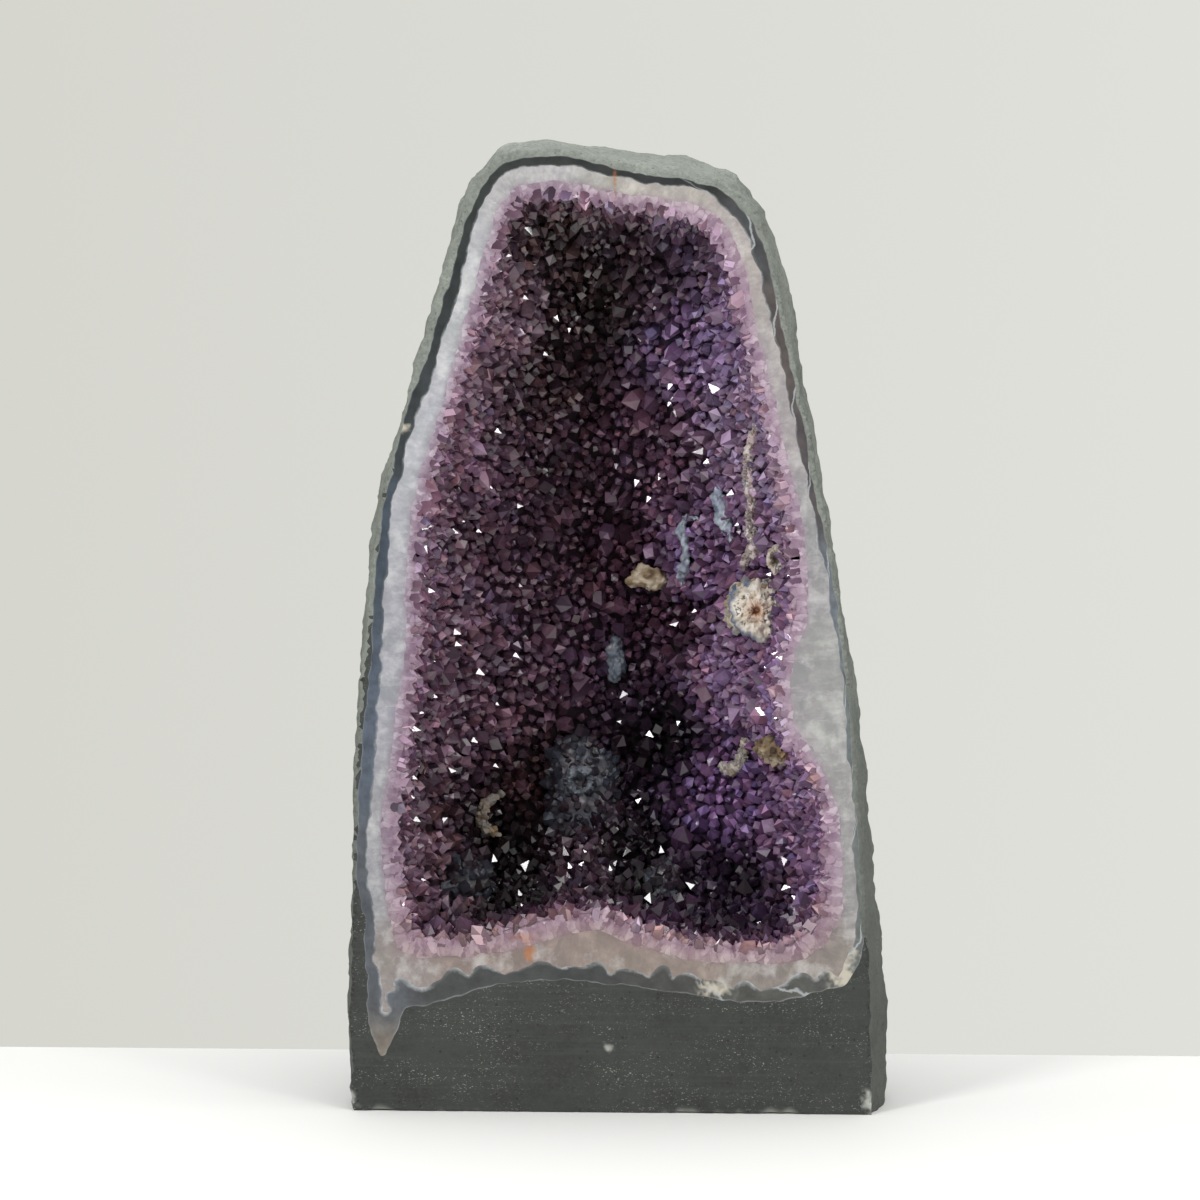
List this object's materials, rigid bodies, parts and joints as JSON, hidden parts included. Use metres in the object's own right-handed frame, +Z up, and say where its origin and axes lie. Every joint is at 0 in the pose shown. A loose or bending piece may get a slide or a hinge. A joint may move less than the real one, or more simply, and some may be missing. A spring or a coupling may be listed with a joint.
{
  "type": "amethyst geode",
  "caption": "Tall geode sawn flat underneath and down its front, open on a cavity lined with purple crystal points inside bands of quartz, agate and host rock.",
  "frame": {"origin": "on the resting face, under the middle of the whole stone", "axes": "+Z up along the stone's height, the sawn open front faces -Y, +X to the right as the front is looked at"},
  "size_m": [0.239, 0.168, 0.4228],
  "materials": {
    "host_rock": "rough grey-green basalt outside, sawn and ground smooth in front and underneath",
    "agate": "polished slate-blue to brown-grey agate",
    "quartz": "polished milky white quartz",
    "amethyst": "natural glassy purple crystal faces",
    "calcite": "matt cream crust",
    "tan_calcite": "matt tan crust",
    "chalcedony": "waxy blue-grey crust"
  },
  "bodies": {
    "root": {"host_rock": "host_rock", "agate_rind": "agate", "quartz_band": "quartz", "amethyst_bed": "amethyst", "rosette": "calcite", "rosette_ring": "calcite", "vein_ridge": "calcite", "cream_finger": "calcite", "cream_block": "calcite", "pale_shell": "calcite", "tan_knob": "tan_calcite", "pale_blade": "chalcedony", "blue_ribbon": "chalcedony", "grey_stub": "chalcedony", "ring_cluster": "chalcedony", "grey_cluster_left": "chalcedony", "grey_cluster_right": "chalcedony"}
  },
  "joints": []
}
